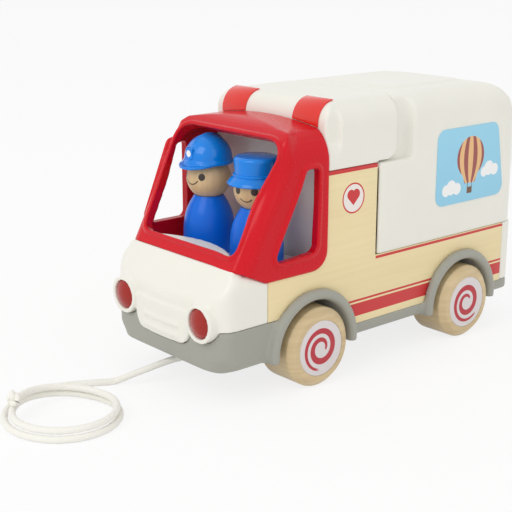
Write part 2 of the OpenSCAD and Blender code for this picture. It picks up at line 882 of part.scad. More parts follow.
// Peg figure: turned body, round head on a dowel, and its hat
module figure_body(x) {
    r = figure_d / 2;
    color([0.18, 0.39, 0.78])
    translate([x, seat_y, seat_z]) {
        rotate_extrude() intersection() {
            outline([
                [-r, 0, 0], [r - 0.5, 0, 1.5], [r, 0.4 * figure_h, 12], [0.72 * r, 0.88 * figure_h, 8],
                [0.5 * r, figure_h, 0], [-r, figure_h, 0],
            ]);
            square([r + 1, figure_h]);
        }
        translate([0, 0, figure_h - slack]) cylinder(r = peg_r, h = peg_h);
    }
}
module figure_head(x) {
    color([0.8, 0.69, 0.51])
    difference() {
        translate([x, seat_y, head_z]) sphere(r = head_r, $fn = 64);
        translate([x - head_r, seat_y - head_r, neck_z - head_d]) cube([head_d, head_d, head_d]);
        translate([x, seat_y, neck_z - 1]) cylinder(r = peg_r + 0.05, h = peg_h + 2);
    }
}
module helmet() {
    dome_r = head_r + 1.2;
    rim_r = dome_r + 1.2;
    color([0.08, 0.51, 0.84])
    translate([-seat_pitch / 2, seat_y, 0]) difference() {
        union() {
            rotate_extrude() intersection() {
                outline([
                    [-dome_r, helmet_low, 0], [rim_r, helmet_low, 0.8], [rim_r, helmet_low + brim_t, 0.8],
                    [dome_r, helmet_low + brim_t + 0.4, 0], [dome_r, helmet_low + helmet_h, dome_r - 0.5],
                    [-dome_r, helmet_low + helmet_h, 0],
                ]);
                translate([0, helmet_low - 1]) square([dome_r + 5, helmet_h + 5]);
            }
            translate([0, -visor, helmet_low]) cylinder(r = dome_r - 0.5, h = brim_t);
        }
        translate([0, 0, head_z]) sphere(r = head_r + fit_gap / 2, $fn = 64);
    }
}
module cap() {
    crown_r = head_r - 0.8;
    color([0.08, 0.51, 0.84])
    translate([seat_pitch / 2, seat_y, 0]) difference() {
        rotate_extrude() intersection() {
            outline([
                [-1, cap_low, 0], [head_r + 4, cap_low, 1], [head_r + 0.6, cap_low + 4.5, 2],
                [crown_r, cap_low + 6, 1],
                [crown_r + 0.6, cap_low + cap_h, 3], [-1, cap_low + cap_h, 0],
            ]);
            translate([0, cap_low - 1]) square([head_d, 40]);
        }
        translate([0, 0, head_z]) sphere(r = head_r + fit_gap / 2, $fn = 64);
    }
}

// Screws from below into the tub and the cab's posts
module assembly_screws() {
    color([0.55, 0.56, 0.58])
    for (p = screw_places()) translate([p.x, p.y, 0]) {
        translate([0, 0, sill_z - floor_t - screw_seat - screw_head_t])
            cylinder(r = screw_head_r, h = screw_head_t);
        translate([0, 0, sill_z - floor_t - screw_seat - slack])
            cylinder(r = screw_r, h = floor_t + screw_len + slack);
    }
}

// Cord: a tube swept along a path, each ring square to the path
function ring(path, i, sides, r) =
    let (
        n = len(path),
        t = unit(path[min(i + 1, n - 1)] - path[max(i - 1, 0)]),
        side = unit(cross(t, [0, 0, 1])),
        up = cross(side, t)
    )
    [for (k = [0:sides - 1])
        let (a = 360 * (k + 0.5) / sides)
        path[i] + r * (cos(a) * side + sin(a) * up)];
module tube(path, sides, r) {
    n = len(path);
    points = [for (i = [0:n - 1]) each ring(path, i, sides, r)];
    walls = [for (i = [0:n - 2], k = [0:sides - 1])
        let (a = i * sides + k, b = i * sides + (k + 1) % sides)
        each [[a, b, b + sides], [a, b + sides, a + sides]]];
    last = (n - 1) * sides;
    caps = [for (k = [1:sides - 2]) each [[0, k + 1, k], [last, last + k, last + k + 1]]];
    polyhedron(points, concat(walls, caps));
}

// Coil: the cord swings in from behind, then each loop climbs over the start of the one below
function ease(x) = let (c = min(max(x, 0), 1)) c * c * (3 - 2 * c);
function climb(t) = ease((t - floor(t - climb_from) - climb_from) / climb_len) + floor(t - climb_from);
function coil_point(t) =
    let (
        a = coil_from + 360 * t,
        r = coil_r + coil_flare * pow(max(0, 1 - 2 * t), 2) - coil_step * t,
        z = cord_r + coil_rise * max(0, climb(t))
    )
    [coil_mid.x + r * cos(a), coil_mid.y + r * sin(a), z];
coil_loops = [for (i = [0:coil_turns * coil_rings]) coil_point(i / coil_rings)];
loops_last = len(coil_loops) - 1;
coil_start = coil_loops[0] - cord_d * unit(coil_loops[1] - coil_loops[0]);
coil_end = coil_loops[loops_last] + cord_d * unit(coil_loops[loops_last] - coil_loops[loops_last - 1]);
coil_lead = coil_start - 2 * cord_d * unit(coil_loops[1] - coil_loops[0]);
coil_path = concat([coil_start], coil_loops, [coil_end]);
coil_reaches = [for (i = [0:loops_last], j = [0:loops_last])
    if (j - i > coil_rings / 2) norm(coil_loops[i] - coil_loops[j])];
coil_gap = min(coil_reaches) - cord_d;
module cord_stop() {
    color([0.92, 0.91, 0.86])
    translate([0, 0, eye_z]) {
        rod_y(eye_y - eye_t / 2, eye_y + eye_t / 2 + cord_d, cord_r);
        translate([0, eye_y + eye_t / 2 + cord_d, 0]) sphere(r = cord_d);
    }
}
module pull_cord() {
    color([0.92, 0.91, 0.86]) tube(concat(cord_route, [coil_lead, coil_start]), cord_sides, cord_r);
}
module cord_coil() {
    echo(least_gap_of_the_coil_to_itself = coil_gap);
    color([0.92, 0.91, 0.86]) tube(coil_path, coil_sides, cord_r);
}
module cord_knot() {
    color([0.92, 0.91, 0.86])
    translate(coil_end + [0, 0, knot_lift]) sphere(r = knot_r);
}

chassis();
nose_cover();
headlight(1);  // headlight_left
headlight(-1);  // headlight_right
cab_frame();
cab_interior();
bulkhead();
side_panel();  // side_panel_left
mirror([1, 0, 0]) side_panel();  // side_panel_right
front_roof();
roof_light(1);  // roof_light_left
roof_light(-1);  // roof_light_right
cargo_box();
rear_panel();
rear_cover();
window_sticker();  // window_left
mirror([1, 0, 0]) window_sticker();  // window_right
axle(front_axle_y);  // front_axle
axle(rear_axle_y);  // rear_axle
axle_bushes();
wheel(front_axle_y, 1);  // wheel_front_left
wheel(front_axle_y, -1);  // wheel_front_right
wheel(rear_axle_y, 1);  // wheel_rear_left
wheel(rear_axle_y, -1);  // wheel_rear_right
wheel_disc(front_axle_y, 1);  // disc_front_left
wheel_disc(front_axle_y, -1);  // disc_front_right
wheel_disc(rear_axle_y, 1);  // disc_rear_left
wheel_disc(rear_axle_y, -1);  // disc_rear_right
figure_body(-seat_pitch / 2);  // driver_body
figure_head(-seat_pitch / 2);  // driver_head
helmet();  // driver_helmet
figure_body(seat_pitch / 2);  // medic_body
figure_head(seat_pitch / 2);  // medic_head
cap();  // medic_cap
assembly_screws();
cord_stop();
pull_cord();
cord_coil();
cord_knot();
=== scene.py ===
"""Pull-along toy ambulance: the looks of every piece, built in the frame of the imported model."""
import json
import math

import bpy
from mathutils import Matrix, Vector

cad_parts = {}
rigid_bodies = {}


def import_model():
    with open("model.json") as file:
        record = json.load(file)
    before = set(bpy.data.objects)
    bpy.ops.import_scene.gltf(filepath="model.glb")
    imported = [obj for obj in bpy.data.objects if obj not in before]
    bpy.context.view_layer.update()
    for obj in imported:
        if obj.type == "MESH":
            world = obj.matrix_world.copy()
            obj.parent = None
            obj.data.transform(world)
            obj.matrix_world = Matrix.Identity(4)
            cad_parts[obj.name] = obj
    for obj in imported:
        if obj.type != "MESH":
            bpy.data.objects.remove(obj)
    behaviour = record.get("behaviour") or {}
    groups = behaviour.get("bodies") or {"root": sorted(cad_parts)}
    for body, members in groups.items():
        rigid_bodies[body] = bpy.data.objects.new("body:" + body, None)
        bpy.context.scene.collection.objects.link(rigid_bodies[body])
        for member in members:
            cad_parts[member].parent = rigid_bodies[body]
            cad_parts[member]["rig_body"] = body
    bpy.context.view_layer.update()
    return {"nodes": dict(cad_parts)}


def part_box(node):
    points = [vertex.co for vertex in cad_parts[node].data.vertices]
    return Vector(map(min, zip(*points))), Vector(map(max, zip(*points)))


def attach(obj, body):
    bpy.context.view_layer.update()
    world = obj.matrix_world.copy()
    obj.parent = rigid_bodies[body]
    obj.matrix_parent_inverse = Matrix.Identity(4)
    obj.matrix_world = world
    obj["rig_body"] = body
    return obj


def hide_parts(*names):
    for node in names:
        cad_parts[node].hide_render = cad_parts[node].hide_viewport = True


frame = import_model()
mm = 0.001

# Camera: a long lens off the near front corner of the toy, a little above its roof,
# looking slightly down at the nose and the left side.
camera_place = (520.6 * mm, -509.8 * mm, 264.5 * mm)
camera_turn = math.radians(49.15)
camera_tilt = math.radians(15.81)
camera_lens = 79.0
bpy.ops.object.camera_add(location=camera_place, rotation=(math.pi / 2 - camera_tilt, 0, camera_turn))
camera = bpy.context.object
camera.data.lens = camera_lens
bpy.context.scene.camera = camera
bpy.context.scene.view_settings.view_transform = "Standard"


# Pull cord: a plaited cotton cord, knotted behind the eye under the bumper. It drops to the floor,
# swings round behind its own coil, lies in loops that climb over each other, and ends in a knot.
def paint(red, green, blue):
    """A colour given as it looks on screen, from 0 to 255, as the shader's own numbers."""
    shares = [c / 255 for c in (red, green, blue)]
    return tuple(c / 12.92 if c < 0.04 else ((c + 0.055) / 1.055) ** 2.4 for c in shares) + (1.0,)


class Value:
    """A number in a material's nodes, with arithmetic that adds Math nodes."""

    def __init__(self, finish, socket):
        self.finish = finish
        self.socket = socket

    def math(self, operation, *others):
        return self.finish.add("Math", dict(enumerate((self, *others))), operation=operation)

    def __add__(self, other):
        return self.math("ADD", other)

    def __sub__(self, other):
        return self.math("SUBTRACT", other)

    def __rsub__(self, other):
        return self.finish.add("Math", {0: other, 1: self}, operation="SUBTRACT")

    def __mul__(self, other):
        return self.math("MULTIPLY", other)

    def __truediv__(self, other):
        return self.math("DIVIDE", other)

    def __abs__(self):
        return self.math("ABSOLUTE")

    __radd__ = __add__
    __rmul__ = __mul__

    def least(self, other):
        return self.math("MINIMUM", other)

    def most(self, other):
        return self.math("MAXIMUM", other)

    def below(self, edge, soft=0.12 * mm):
        """1 where the number is under the edge and 0 above it, with a soft step between."""
        step = (edge - self) / soft + 0.5
        return step.most(0.0).least(1.0)

    def within(self, low, high):
        return self.below(high) * (low - self).below(0.0)


class Finish:
    """A material on the Principled shader, whose nodes are added one at a time."""

    def __init__(self, name, **constants):
        self.material = bpy.data.materials.new(name)
        self.material.use_nodes = True
        self.tree = self.material.node_tree
        self.shader = self.tree.nodes["Principled BSDF"]
        for socket, number in constants.items():
            title = socket.replace("_", " ").title().replace("Ior", "IOR")
            self.shader.inputs[title].default_value = number
        self.place = self.add("TexCoord", output="Object")

    def add(self, kind, inputs=None, output=0, **settings):
        node = self.tree.nodes.new("ShaderNode" + kind)
        for name, setting in settings.items():
            setattr(node, name, setting)
        for name, value in (inputs or {}).items():
            self.feed(node.inputs[name], value)
        return Value(self, node.outputs[output])

    def feed(self, socket, value):
        if isinstance(value, Value):
            self.tree.links.new(value.socket, socket)
        else:
            socket.default_value = value

    def noise(self, scale, detail=2.0, stretch=(1, 1, 1), turn=(0, 0, 0)):
        place = self.add("Mapping", {"Vector": self.place, "Scale": stretch, "Rotation": turn})
        return self.add("TexNoise", {"Vector": place, "Scale": scale, "Detail": detail})

    def axes(self, centre=(0, 0, 0)):
        moved = self.add("Mapping", {"Vector": self.place, "Location": [-c for c in centre]})
        return [self.add("SeparateXYZ", {"Vector": moved}, output=axis) for axis in "XYZ"]

    def mix(self, share, under, over):
        return self.add("Mix", {0: share, 6: under, 7: over}, output=2, data_type="RGBA")

    def colour(self, value):
        self.feed(self.shader.inputs["Base Color"], value)

    def colour_so_far(self):
        """The colour that the shader has now, for a print to go over."""
        return Value(self, self.shader.inputs["Base Color"].links[0].from_socket)

    def roughness(self, value):
        self.feed(self.shader.inputs["Roughness"], value)

    def bump(self, height, depth, strength=1.0):
        normal = self.add("Bump", {"Height": height, "Distance": depth, "Strength": strength})
        self.feed(self.shader.inputs["Normal"], normal)


def only(piece):
    """Makes a piece the one that is selected and active."""
    bpy.ops.object.select_all(action="DESELECT")
    piece.select_set(True)
    bpy.context.view_layer.objects.active = piece


def new_piece(name, points, edges, faces):
    mesh = bpy.data.meshes.new(name)
    mesh.from_pydata(points, edges, faces)
    piece = bpy.data.objects.new(name, mesh)
    bpy.context.scene.collection.objects.link(piece)
    only(piece)
    return piece


def stand_for(piece, finish, *nodes):
    """Gives a piece its finish and puts it in the place of CAD nodes, on their body."""
    piece.data.materials.clear()
    piece.data.materials.append(finish.material)
    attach(piece, frame["nodes"][nodes[0]]["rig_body"])
    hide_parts(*nodes)
    return piece


def smooth_curve(points, steps):
    """Points along a smooth curve through the given ones."""
    ends = [2 * points[0] - points[1], *points, 2 * points[-1] - points[-2]]
    curve = []
    for before, here, after, beyond in zip(ends, ends[1:], ends[2:], ends[3:]):
        for step in range(steps):
            t = step / steps
            curve.append(0.5 * (2 * here + (after - before) * t
                                + (2 * before - 5 * here + 4 * after - beyond) * t ** 2
                                + (3 * here - before - 3 * after + beyond) * t ** 3))
    return curve + [points[-1]]


def tube(name, path, radius, sides, plait=0.0, pitch=1.0, closed=False):
    """A round tube along a path, whose radius swells where the strands of a plait cross it."""
    count = len(path)
    points = []
    side = None
    run = 0.0
    for i, here in enumerate(path):
        before = path[i - 1] if closed or i else here
        after = path[(i + 1) % count] if closed or i + 1 < count else here
        along = (after - before).normalized()
        side = Vector((0, 0, 1)).cross(along) if side is None else side - side.dot(along) * along
        side = side.normalized()
        up = along.cross(side)
        run += (here - before).length if i else 0.0
        for k in range(sides):
            turn = 2 * math.pi * k / sides
            wind = 2 * math.pi * run / pitch
            swell = max(math.cos(plait_strands * turn + wind), math.cos(plait_strands * turn - wind))
            reach = radius * (1 - plait + plait * swell)
            points.append(here + reach * (math.cos(turn) * side + math.sin(turn) * up))
    rings = count if closed else count - 1
    faces = [(i * sides + k, i * sides + (k + 1) % sides,
              (i + 1) % count * sides + (k + 1) % sides, (i + 1) % count * sides + k)
             for i in range(rings) for k in range(sides)]
    if not closed:
        faces += [tuple(range(sides))[::-1], tuple((count - 1) * sides + k for k in range(sides))]
    piece = new_piece(name, points, [], faces)
    bpy.ops.object.mode_set(mode="EDIT")
    bpy.ops.mesh.select_all(action="SELECT")
    bpy.ops.mesh.normals_make_consistent(inside=False)
    bpy.ops.object.mode_set(mode="OBJECT")
    bpy.ops.object.shade_smooth()
    return piece


cord_d = 4.2 * mm
cord_sides = 24
curve_steps = 10
plait_strands = 4
plait_pitch = 5.2 * mm
plait_depth = 0.05
eye_face_y = -110
eye_end_y = -98
eye_step = 2
eye_z = 15.5
coil_mid = (2.5, -205)
coil_from = 130
coil_r = 32
coil_flare = 18.5
coil_step = 1.6
coil_rise = 4.6
coil_turns = 2.25
coil_rings = 24
climb_from = 0.9
climb_len = 0.35
cord_route = [(0, eye_face_y, eye_z), (0, -115, eye_z), (-4, -122, 14.4), (-8, -130, 12.2),
              (-12, -138, 9.4), (-17, -145.5, 6.2), (-20.5, -150.5, 3.8)]


def ease(x):
    """A smooth step from 0 to 1."""
    x = min(max(x, 0), 1)
    return x * x * (3 - 2 * x)


def coil_point(t):
    """The middle of the cord after t turns of the coil, in millimetres."""
    turn = math.radians(coil_from + 360 * t)
    r = coil_r + coil_flare * max(0, 1 - 2 * t) ** 2 - coil_step * t
    layer = math.floor(t - climb_from)
    climb = max(0, layer + ease((t - layer - climb_from) / climb_len))
    return Vector((coil_mid[0] + r * math.cos(turn), coil_mid[1] + r * math.sin(turn),
                   cord_d / mm / 2 + coil_rise * climb))


loops = [coil_point(i / coil_rings) for i in range(round(coil_turns * coil_rings) + 1)]
lead = (loops[1] - loops[0]).normalized() * cord_d / mm
tail = (loops[-1] - loops[-2]).normalized() * cord_d / mm
route = [Vector(p) for p in cord_route]
route += [loops[0] - 3 * lead, loops[0] - lead, *loops, loops[-1] + tail]
cord_path = [p * mm for p in smooth_curve(route, curve_steps)]
cord_length = sum((b - a).length for a, b in zip(cord_path, cord_path[1:]))

cotton = Finish("plaited_cotton", roughness=0.85, sheen_weight=0.25)
fibre = cotton.noise(scale=2600, detail=3)
cotton.colour(cotton.mix(fibre, paint(237, 234, 223), paint(251, 250, 244)))
cotton.bump(fibre, depth=0.08 * mm)

cord = tube("cord", cord_path, cord_d / 2, cord_sides, plait_depth, plait_pitch)
stand_for(cord, cotton, "pull_cord", "cord_coil")

knot_points = 120
knot_ring = 2.5 * mm
knot_swell = 1.2 * mm
knot_cord_r = 1.75 * mm
knot_sides = 14


def knot(name, centre, node):
    """An overhand knot: a cord that winds three times round its own ring, pulled tight."""
    path = []
    for i in range(knot_points):
        t = 2 * math.pi * i / knot_points
        r = knot_ring + knot_swell * math.cos(3 * t)
        swing = Vector((r * math.cos(2 * t), knot_swell * math.sin(3 * t), r * math.sin(2 * t)))
        path.append(centre + swing)
    piece = tube(name, path, knot_cord_r, knot_sides, plait_depth, plait_pitch, closed=True)
    return stand_for(piece, cotton, node)


def middle(node):
    """The middle of a CAD node's box."""
    low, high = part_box(node)
    return (low + high) / 2


end_knot = knot("end_knot", middle("cord_knot"), "cord_knot")
stop_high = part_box("cord_stop")[1]
knot("stop_knot", Vector((0, stop_high.y - cord_d, eye_z * mm)), "cord_stop")
eye_path = [Vector((0, y * mm, eye_z * mm)) for y in range(eye_face_y, eye_end_y, eye_step)]
eye_run = tube("eye_run", eye_path, cord_d / 2, cord_sides, plait_depth, plait_pitch)
eye_run.data.materials.append(cotton.material)
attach(eye_run, "root")

# Studio: a seamless pale floor under an even white sky, a broad soft lamp ahead of the toy and
# a weaker one off its near side. Seen directly, floor and sky are white, and the floor keeps the shadow.
sky_level = 0.76
floor_size = 40.0
floor_grey = 0.94
floor_white = 0.8
lamp_aim = Vector((0, 0, 0.08))
lamps = [("key_lamp", (0.1, -1.7, 1.5), 1.2, 12.0), ("fill_lamp", (1.8, 0.1, 1.2), 1.4, 3.6)]


def seen_directly(tree):
    """1 for what the camera, a reflection or a clear piece sees, and 0 for light on the toy."""
    rays = tree.nodes.new("ShaderNodeLightPath")
    total = rays.outputs["Is Camera Ray"]
    for other in ("Is Glossy Ray", "Is Transmission Ray"):
        add = tree.nodes.new("ShaderNodeMath")
        add.operation = "MAXIMUM"
        tree.links.new(total, add.inputs[0])
        tree.links.new(rays.outputs[other], add.inputs[1])
        total = add.outputs[0]
    return total


world = bpy.data.worlds.new("studio")
bpy.context.scene.world = world
world.use_nodes = True
sky = world.node_tree.nodes["Background"]
sky.inputs["Color"].default_value = (1, 1, 1, 1)
level = world.node_tree.nodes.new("ShaderNodeMapRange")
level.inputs["To Min"].default_value = sky_level
world.node_tree.links.new(seen_directly(world.node_tree), level.inputs["Value"])
world.node_tree.links.new(level.outputs["Result"], sky.inputs["Strength"])

bpy.ops.mesh.primitive_plane_add(size=floor_size)
floor = bpy.context.object
floor.name = "floor"
ground = Finish("floor_paper", roughness=0.9)
ground.colour((floor_grey, floor_grey, floor_grey, 1))
white_share = Value(ground, seen_directly(ground.tree)) * floor_white
paper = Value(ground, ground.shader.outputs[0])
blend = ground.add("MixShader", {0: white_share, 1: paper, 2: ground.add("Emission")})
ground.feed(ground.tree.nodes["Material Output"].inputs["Surface"], blend)
floor.data.materials.append(ground.material)

for name, place, size, watts in lamps:
    bpy.ops.object.light_add(type="AREA", location=place)
    lamp = bpy.context.object
    lamp.name = name
    lamp.data.size = size
    lamp.data.energy = watts
    lamp.rotation_euler = (lamp_aim - Vector(place)).to_track_quat("-Z", "Y").to_euler()

# Chassis: the grey tray under the whole toy, with the bumper, the sills and the rolled wheel arches.
# It is one injection moulding, satin, with soft edges all over, and it carries all the rest.
merge_gap = 0.001 * mm


def copy_of(name, node, *extras):
    """A copy of a CAD solid with its loose triangles merged, and any raised extras joined to it."""
    piece = new_piece(name, [], [], [])
    piece.data = frame["nodes"][node].data.copy()
    for extra in extras:
        extra.select_set(True)
    if extras:
        bpy.ops.object.join()
    bpy.ops.object.mode_set(mode="EDIT")
    bpy.ops.mesh.select_all(action="SELECT")
    bpy.ops.mesh.remove_doubles(threshold=merge_gap)
    bpy.ops.object.mode_set(mode="OBJECT")
    return piece


def soften(piece, voxel, passes):
    """Gives the active piece one even skin, with its edges eased all over as a mould leaves them."""
    skin = piece.modifiers.new("skin", "REMESH")
    skin.mode = "VOXEL"
    skin.voxel_size = voxel
    skin.use_smooth_shade = True
    soft = piece.modifiers.new("soft_edges", "SMOOTH")
    soft.factor = 0.5
    soft.iterations = passes
    bpy.ops.object.modifier_apply(modifier="skin")
    bpy.ops.object.modifier_apply(modifier="soft_edges")
    return piece


def moulded(name, node, voxel, passes, extras=()):
    """A moulding: a CAD solid, with any raised extras, and soft edges."""
    return soften(copy_of(name, node, *extras), voxel, passes)


cloud_scale = 35
cloud_share = 0.8
deep_tone = 0.93
peel_scale = 700
gloss_swing = 0.08


def plastic(name, tint, roughness, coat=0.0, gloss=0.35, peel_depth=0.02):
    """Moulded plastic: a hair of tone and gloss from the mould, and a faint orange peel."""
    finish = Finish(name, coat_weight=coat, coat_roughness=0.15, specular_ior_level=gloss)
    cloud = finish.noise(cloud_scale, detail=3)
    peel = finish.noise(peel_scale)
    deeper = tuple(deep_tone * c for c in tint[:3]) + (1.0,)
    finish.colour(finish.mix(cloud * cloud_share, tint, deeper))
    finish.roughness(peel * gloss_swing + (roughness - gloss_swing / 2))
    finish.bump(peel, peel_depth * mm, strength=0.5)
    return finish


grey_plastic = plastic("grey_plastic", paint(166, 166, 156), roughness=0.42)
tray = moulded("chassis_tray", "chassis", voxel=1.2 * mm, passes=4)
keel_low = 21
keel_rise = 11
corner_r = 20
nose_y = -135
tray_half = 54
# Towards the keel the two front corners turn rounder: their square is drawn in to a disc.
for vertex in tray.data.vertices:
    place = vertex.co / mm
    side_share = max(abs(place.x) - tray_half + corner_r, 0) / corner_r
    nose_share = max(nose_y + corner_r - place.y, 0) / corner_r
    depth = ease(1 - (place.z - keel_low) / keel_rise)
    shift_x = side_share * (1 - math.sqrt(max(1 - nose_share ** 2 / 2, 0))) * corner_r
    shift_y = nose_share * (1 - math.sqrt(max(1 - side_share ** 2 / 2, 0))) * corner_r
    vertex.co += Vector((-math.copysign(shift_x, place.x), shift_y, 0)) * depth * mm
stand_for(tray, grey_plastic, "chassis")


# Axles, bushes and screws: drawn steel rods that run in nylon bushes, and plated screws from below.
# They are plain stock pieces, so only their surface is added here.
def keep(finish, *node_names):
    """Keeps CAD nodes as they are, in a finer finish."""
    for node in node_names:
        frame["nodes"][node].data.materials.clear()
        frame["nodes"][node].data.materials.append(finish.material)


steel_gloss = 0.2
steel_swing = 0.2
steel = Finish("drawn_steel", metallic=1.0)
draw_lines = steel.noise(scale=900, stretch=(0.02, 1, 1))
steel.colour(steel.mix(draw_lines, paint(150, 151, 154), paint(196, 196, 198)))
steel.roughness(draw_lines * steel_swing + steel_gloss)
steel.bump(draw_lines, depth=0.02 * mm)
keep(steel, "front_axle", "rear_axle", "assembly_screws")
keep(plastic("bush_nylon", paint(232, 230, 222), roughness=0.5), "axle_bushes")

# Wheels: thick beech rounds, turned with a soft shoulder, varnished, and pressed on the axle ends.
# A printed disc with a red spiral fills a shallow recess in each outer face.
wheel_r = 25
wheel_in = 33
wheel_out = 62
wheel_bevel = 3.8
bevel_round = 1.6
bevel_lead = 0.4 * bevel_round
wheel_back_edge = 2
wheel_bore = 2.5
wheel_bore_end = 56
disc_r = 17.5
disc_t = 0.5
disc_round = 0.4
disc_play = 0.1
lathe_steps = 96
smooth_angle = math.radians(40)


def arc(mid_r, mid_h, radius, start, end, steps=8):
    """Points of (radius, height) round an arc, from one angle to another."""
    turns = [math.radians(start + (end - start) * i / steps) for i in range(steps + 1)]
    return [(mid_r + radius * math.cos(a), mid_h + radius * math.sin(a)) for a in turns]


def turned(name, profile, foot, axis=(0, 0, 1)):
    """A lathe piece: a profile of (radius, height) spun round an axis that starts at a foot."""
    edges = [(i, i + 1) for i in range(len(profile) - 1)]
    piece = new_piece(name, [(r * mm, 0, h * mm) for r, h in profile], edges, [])
    bpy.ops.object.mode_set(mode="EDIT")
    bpy.ops.mesh.select_all(action="SELECT")
    bpy.ops.mesh.spin(steps=lathe_steps, angle=2 * math.pi, center=(0, 0, 0), axis=(0, 0, 1))
    bpy.ops.mesh.select_all(action="SELECT")
    bpy.ops.mesh.remove_doubles(threshold=merge_gap)
    bpy.ops.mesh.normals_make_consistent(inside=False)
    bpy.ops.object.mode_set(mode="OBJECT")
    lean = Vector(axis).to_track_quat("Z", "Y").to_matrix().to_4x4()
    piece.data.transform(Matrix.Translation(foot) @ lean)
    bpy.ops.object.shade_smooth_by_angle(angle=smooth_angle)
    return piece


grain_scale = 380
tone_scale = 70
pore_scale = 1500
grain_share = 0.55
figure_soft = 0.35
pore_swing = 0.15
pore_gloss = 0.07


def wood(name, light, dark, stretch, turn=(0, 0, 0), roughness=0.45):
    """Pale hardwood: long grain streaks, short pores and a thin satin varnish."""
    finish = Finish(name, coat_weight=0.12, coat_roughness=0.3)
    grain = finish.noise(1, 5, [grain_scale * s for s in stretch], turn)
    tone = finish.noise(1, 2, [tone_scale * s for s in stretch], turn)
    pores = finish.noise(1, 2, [pore_scale * s for s in stretch], turn)
    figure = (grain * grain_share + tone * (1 - grain_share)).below(0.5, figure_soft)
    finish.colour(finish.mix(figure, light, dark))
    finish.roughness(pores * pore_swing + (roughness - pore_gloss))
    finish.bump(pores, 0.03 * mm, strength=0.6)
    return finish


def span(*parts):
    """The distance that parts along square axes make."""
    squares = [part * part for part in parts]
    return sum(squares[1:], squares[0]).math("SQRT")


spiral_inner = 3.9
spiral_outer = 13.6
spiral_turns = 1.78
spiral_thin = 1.5
spiral_thick = 4.1
spiral_soft = 0.12
spiral_tip_soft = 0.02


def spiral_print(name, centre, hand, start):
    """A pale printed disc with one red spiral that swells in the middle and tapers at both ends."""
    finish = Finish(name, roughness=0.45)
    y, z = finish.axes(centre)[1:]
    radius = span(y, z)
    turn = z.math("ARCTAN2", y * hand) / (2 * math.pi) - start / 360
    rise = (spiral_outer - spiral_inner) / spiral_turns
    loop = ((radius / mm - spiral_inner) / rise - turn).math("ROUND")
    share = (turn + loop) / spiral_turns
    line = share * (spiral_outer - spiral_inner) + spiral_inner
    sideways = abs(radius / mm - line)
    width = (share * math.pi).math("SINE") * (spiral_thick - spiral_thin) + spiral_thin
    drawn = share.below(1.0, spiral_tip_soft) * (0.0 - share).below(0.0, spiral_tip_soft)
    red = (sideways - width / 2).below(0.0, spiral_soft) * drawn
    speckle = finish.noise(scale=900)
    pale = finish.mix(speckle, paint(218, 211, 212), paint(228, 223, 222))
    finish.colour(finish.mix(red, pale, paint(186, 44, 58)))
    finish.bump(speckle, depth=0.01 * mm)
    return finish


recess = wheel_out - disc_t
wheel_outline = [(0, recess), (disc_r + disc_play, recess), (disc_r + disc_play, wheel_out),
                 *arc(wheel_r - wheel_bevel - bevel_lead, wheel_out - bevel_round, bevel_round, 90, 45),
                 *arc(wheel_r - bevel_round, wheel_out - wheel_bevel - bevel_lead, bevel_round, 45, 0),
                 *arc(wheel_r - wheel_back_edge, wheel_in + wheel_back_edge, wheel_back_edge, 0, -90),
                 (wheel_bore, wheel_in), (wheel_bore, wheel_bore_end), (0, wheel_bore_end)]
disc_outline = [(0, wheel_out), *arc(disc_r - disc_round, wheel_out - disc_round, disc_round, 90, 0, 4),
                (disc_r, recess), (0, recess)]
beech_light = paint(222, 200, 158)
beech_dark = paint(197, 172, 128)
beech_grain = (0.06, 0.08, 1)
grain_turn = 40
grain_drift = 300
spiral_start = {"front": -22, "rear": 32}
for end in ("front", "rear"):
    axle = middle(end + "_axle")
    foot = (0, axle.y, axle.z)
    for side, hand in (("left", 1), ("right", -1)):
        grain_lie = math.radians(grain_turn * hand + grain_drift * axle.y)
        beech = wood(f"beech_{end}_{side}", beech_light, beech_dark, beech_grain, (grain_lie, 0, 0))
        print_face = spiral_print(f"spiral_{end}_{side}", foot, hand, spiral_start[end])
        rim = turned(f"beech_wheel_{end}_{side}", wheel_outline, foot, (hand, 0, 0))
        stand_for(rim, beech, f"wheel_{end}_{side}")
        face = turned(f"spiral_disc_{end}_{side}", disc_outline, foot, (hand, 0, 0))
        stand_for(face, print_face, f"disc_{end}_{side}")

# Nose cover: the white hood with the headlight tubes and the grille panel, moulded in one
# and set over the front of the chassis, under the cab frame.
white_plastic = plastic("white_plastic", paint(242, 240, 230), roughness=0.33, coat=0.05,
                        peel_depth=0.01)
hood = moulded("hood", "nose_cover", voxel=0.7 * mm, passes=5)
brow_low = (-60, -140, 60.5)
brow_high = (60, -112, 79)
brow_passes = 60


def melt(piece, low, high, repeat):
    """Smooths the part of a piece between two corners of a box, in millimetres."""
    for vertex in piece.data.vertices:
        vertex.select = all(a <= c / mm <= b for a, c, b in zip(low, vertex.co, high))
    for part in (piece.data.edges, piece.data.polygons):
        part.foreach_set("select", [False] * len(part))
    only(piece)
    bpy.ops.object.mode_set(mode="EDIT")
    bpy.ops.mesh.select_mode(type="VERT")
    bpy.ops.mesh.vertices_smooth(factor=0.5, repeat=repeat)
    bpy.ops.object.mode_set(mode="OBJECT")


melt(hood, brow_low, brow_high, brow_passes)
stand_for(hood, white_plastic, "nose_cover")

